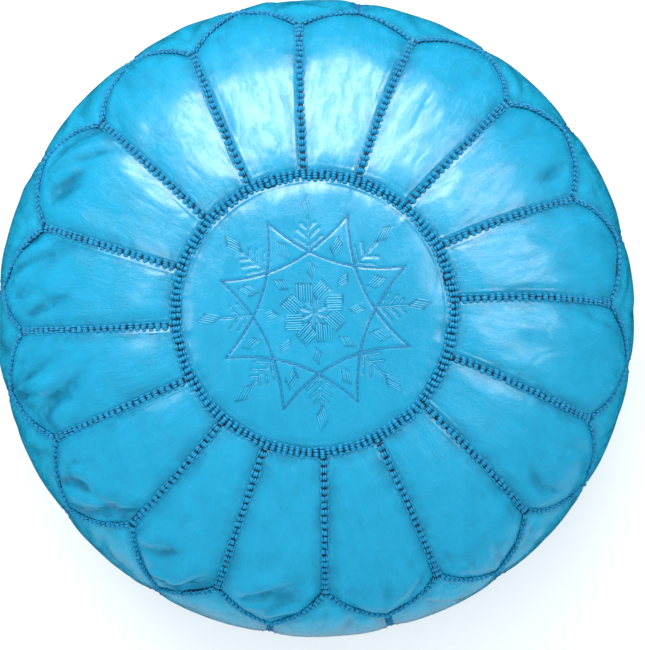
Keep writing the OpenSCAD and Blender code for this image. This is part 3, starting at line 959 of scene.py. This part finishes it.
def base_half(side, material):
    """Half of the base disc, hemmed along the zip and sagging a little."""
    rows, cols = 60, 150
    v = np.linspace(0, 1, rows)
    x = np.linspace(-1, 1, cols) * (BASE_R - 0.4 * MM)
    vv, xx = np.meshgrid(v, x, indexing="ij")
    rim = np.sqrt(np.maximum((BASE_R - 0.2 * MM) ** 2 - xx ** 2, 0))
    slot = np.where(np.abs(xx) < 123 * MM, 4.3 * MM, 0.25 * MM)
    slot = slot - 4.05 * MM * np.clip((np.abs(xx) - 119 * MM) / (4 * MM), 0, 1) * (np.abs(xx) < 123 * MM)
    slot = np.minimum(slot, rim)
    y = slot + vv * (rim - slot)
    gap = np.minimum(y - slot, rim - y)
    hem = 0.5 * MM * np.exp(-((gap - 8 * MM) / (1.2 * MM)) ** 2)
    z = BASE_Z - 0.9 * MM * (1 - np.exp(-gap / (14 * MM))) + hem
    z = z + 0.8 * MM * (soft_noise(xx, y, 30 * MM, 600 + side) - 0.5) * (1 - np.exp(-gap / (8 * MM)))
    faces = grid_faces(rows, cols)
    node = "base_half_back" if side > 0 else "base_half_front"
    obj = piece(node + "_skin", np.stack([xx, side * y, z], -1).reshape(-1, 3),
                flipped(faces) if side > 0 else faces, material)
    mark_dye_and_shade_gap(obj, gap)
    mark_lay(obj, xx, y, 42 + side)
    thicken(obj, BASE_LEATHER_THICKNESS)
    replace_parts(obj, node)


def base_stitching(thread):
    """Two rows of straight stitches beside the zip, and the braid round the base disc."""
    parts = []
    for side in (-1, 1):
        x = np.arange(-118, 118, 4.2) * MM
        local = strands(x, 0 * x + side * 7.6 * MM, 1.75 * MM, 0.0, 0.2 * MM, 0.5 * MM, 0.35 * MM)
        local[..., 2] = BASE_Z - 0.1 * MM - local[..., 2]
        parts.append((local.reshape(-1, 3), flipped(tube_faces(len(x)))))
    piece("zip_hem_stitches", *gather(parts), thread)
    rng = np.random.default_rng(77)
    units, rows = 164, 5
    a = (np.arange(units) + rng.normal(0, 0.04, units)) * 2 * math.pi / units
    m = (np.arange(rows) + 0.5) / rows - 0.5
    aa, mm = np.meshgrid(a, m, indexing="ij")
    mid_r = BASE_R - 2.2 * MM
    local = strands(aa.ravel() * mid_r, mm.ravel() * 5.0 * MM, 2.65 * MM, 0.03, 0.0,
                    (2.0 * MM * (1 - 0.5 * (2 * mm) ** 2)).ravel(), 0.62 * MM)
    angle, r = local[..., 0] / mid_r, mid_r + local[..., 1]
    points = np.stack([r * np.cos(angle), r * np.sin(angle), BASE_Z - 0.2 * MM - local[..., 2]], -1)
    obj = piece("base_ring_stitches", points.reshape(-1, 3), flipped(tube_faces(aa.size)), thread)
    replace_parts(obj, "base_ring_braid")


def dress(names, material, bevel=0.0):
    """Gives CAD nodes their finish."""
    for name in names:
        obj = bpy.data.objects[name]
        obj.data.materials.clear()
        obj.data.materials.append(material)
        if bevel:
            made = obj.modifiers.new("worn edge", "BEVEL")
            made.width = bevel
            made.segments = 2
            made.limit_method = "ANGLE"


# ---- Room

def room():
    world = bpy.data.worlds.new("studio")
    bpy.context.scene.world = world
    world.use_nodes = True
    world.node_tree.nodes["Background"].inputs["Color"].default_value = (0.97, 0.99, 1.0, 1)
    world.node_tree.nodes["Background"].inputs["Strength"].default_value = 1.3
    world.cycles_visibility.glossy = False
    mesh = bpy.data.meshes.new("floor")
    mesh.from_pydata([(-6, -6, 0), (6, -6, 0), (6, 6, 0), (-6, 6, 0)], [], [(0, 1, 2, 3)])
    floor = bpy.data.objects.new("floor", mesh)
    floor.location.z = -0.0002
    bpy.context.scene.collection.objects.link(floor)
    material, _, bsdf = shader("floor_white")
    bsdf.inputs["Base Color"].default_value = (0.95, 0.95, 0.95, 1)
    bsdf.inputs["Roughness"].default_value = 0.9
    mesh.materials.append(material)
    floor.visible_glossy = False
    soft_box("window", (-0.1, 1.42, 1.42), (0, 0, 0.27), 77, (2.05, 1.45), glossy=True)
    soft_box("window_light", (-0.3, 1.42, 1.42), (0, 0, 0.27), 24, (1.9, 1.45), diffuse=True)
    soft_box("right_card", (1.25, 0.42, 1.5), (0, 0, 0.27), 17, (1.5, 1.1), glossy=True)
    soft_box("left_card", (-1.05, 0.14, 1.75), (0, 0, 0.27), 2.2, (0.5, 0.45), glossy=True)
    soft_box("front_bounce", (0.05, -0.47, 0.004), (0.05, -0.47, 1), 0.5, (1.3, 0.32), glossy=True)


def soft_box(name, place, aim, power, size, glossy=False, diffuse=False):
    """A large soft light: some only light the object, and some only show in its glaze."""
    data = bpy.data.lights.new(name, "AREA")
    data.shape, data.size, data.size_y = "RECTANGLE", *size
    data.energy, data.color = power, (0.96, 0.99, 1.0)
    light = bpy.data.objects.new(name, data)
    light.location = place
    light.rotation_euler = (Vector(aim) - Vector(place)).to_track_quat("-Z", "Y").to_euler()
    light.visible_glossy, light.visible_diffuse, light.visible_camera = glossy, diffuse, False
    bpy.context.scene.collection.objects.link(light)


def camera():
    """Almost straight above, turned a little, and a touch to the front."""
    away = 2.2
    data = bpy.data.cameras.new("camera")
    data.sensor_width = 36
    data.lens = 144.7
    cam = bpy.data.objects.new("camera", data)
    roll = math.radians(-2.8)
    right = Vector((math.cos(roll), math.sin(roll), 0))
    up = Vector((-math.sin(roll), math.cos(roll), 0))
    centre = Vector((0, 0, BELLY_Z))
    eye = centre + right * (away * math.tan(math.radians(0.45)))
    eye -= up * (away * math.tan(math.radians(1.35)))
    eye.z += away
    aim = centre + right * 5.6 * MM - up * 5.9 * MM
    back = (eye - aim).normalized()
    side = (right - back * right.dot(back)).normalized()
    top = back.cross(side)
    cam.location = eye
    cam.rotation_euler = Matrix((side, top, back)).transposed().to_euler()
    bpy.context.scene.collection.objects.link(cam)
    bpy.context.scene.camera = cam
    bpy.context.scene.view_settings.view_transform = "Standard"


def build():
    camera()
    room()
    skin_effect, ply_effect = leather_effect(), thread_effect()
    top_leather = leather_material("blue_leather", skin_effect, srgb(12, 154, 197), srgb(4, 96, 132),
                                   srgb(18, 158, 201))
    # Painted light: a lighter copy of the top leather for the side panels and the base.
    lit_side_leather = leather_material("blue_leather_side_lit", skin_effect, srgb(15, 165, 207), srgb(5, 106, 144),
                                    srgb(24, 156, 196), 0.8, 0.7, 0.6)
    disc_leather = leather_material("blue_leather_disc", skin_effect, srgb(11, 148, 190), srgb(4, 94, 132),
                                    srgb(18, 158, 202), 0.3, 0.35)
    thread = thread_material("braid_thread", ply_effect,
                             srgb(12, 150, 198), srgb(4, 92, 136), 0.5, 0.0, 0.22)
    # Painted shade: a darker copy of the braid thread for the side seams.
    shaded_side_thread = thread_material("shaded_side_thread", ply_effect,
                                  srgb(10, 116, 164), srgb(4, 66, 106), 0.6, 0.0, 0.12)
    silk = thread_material("embroidery_thread", ply_effect,
                           srgb(26, 166, 210), srgb(16, 146, 188), 0.25, 0.0, 0.7)
    # Partly the outline thread's own darker colour and partly painted shade, so the stitched lines read
    # dark.
    silk_line = thread_material("embroidery_outline", ply_effect,
                                srgb(8, 130, 182), srgb(2, 98, 150), 0.3, 0.0, 0.35)
    # Painted shade: the dark strip that shows in the gaps between the braid bundles.
    gap_shade = thread_material("braid_ground", ply_effect, srgb(8, 40, 66), srgb(4, 16, 30), 0.85, 0.0)
    cotton = cloth_material("lining_cotton", srgb(226, 216, 192), srgb(176, 160, 130), 900.0)
    wadding = cloth_material("cotton_wadding", srgb(232, 228, 218), srgb(200, 194, 180), 120.0)
    tape = cloth_material("zip_tape", srgb(22, 96, 138), srgb(8, 46, 78), 700.0)
    brass = brass_material("satin_brass")
    for k in range(PANELS):
        for obj, node in ((top_panel(k, top_leather), f"top_petal_{(3 - k) % PANELS + 1:02d}"),
                          (side_panel(k, lit_side_leather), f"side_panel_{(4 - k) % PANELS + 1:02d}")):
            thicken(obj)
            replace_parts(obj, node)
    disc = middle_disc(disc_leather)
    thicken(disc)
    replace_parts(disc, "top_disc")
    all_braids(thread, shaded_side_thread, gap_shade)
    embroidery(silk, silk_line)
    base_half(1, lit_side_leather)
    base_half(-1, lit_side_leather)
    base_stitching(thread)
    dress(["disc_backing", "lining_bag"], cotton)
    dress(["stuffing"], wadding)
    dress(["zip_tape_front", "zip_tape_back"], tape)
    dress(["zip_teeth_front", "zip_teeth_back", "zip_top_stops", "zip_bottom_stop"], brass)
    dress(["zip_slider", "zip_pull"], brass, 0.25 * MM)


build()
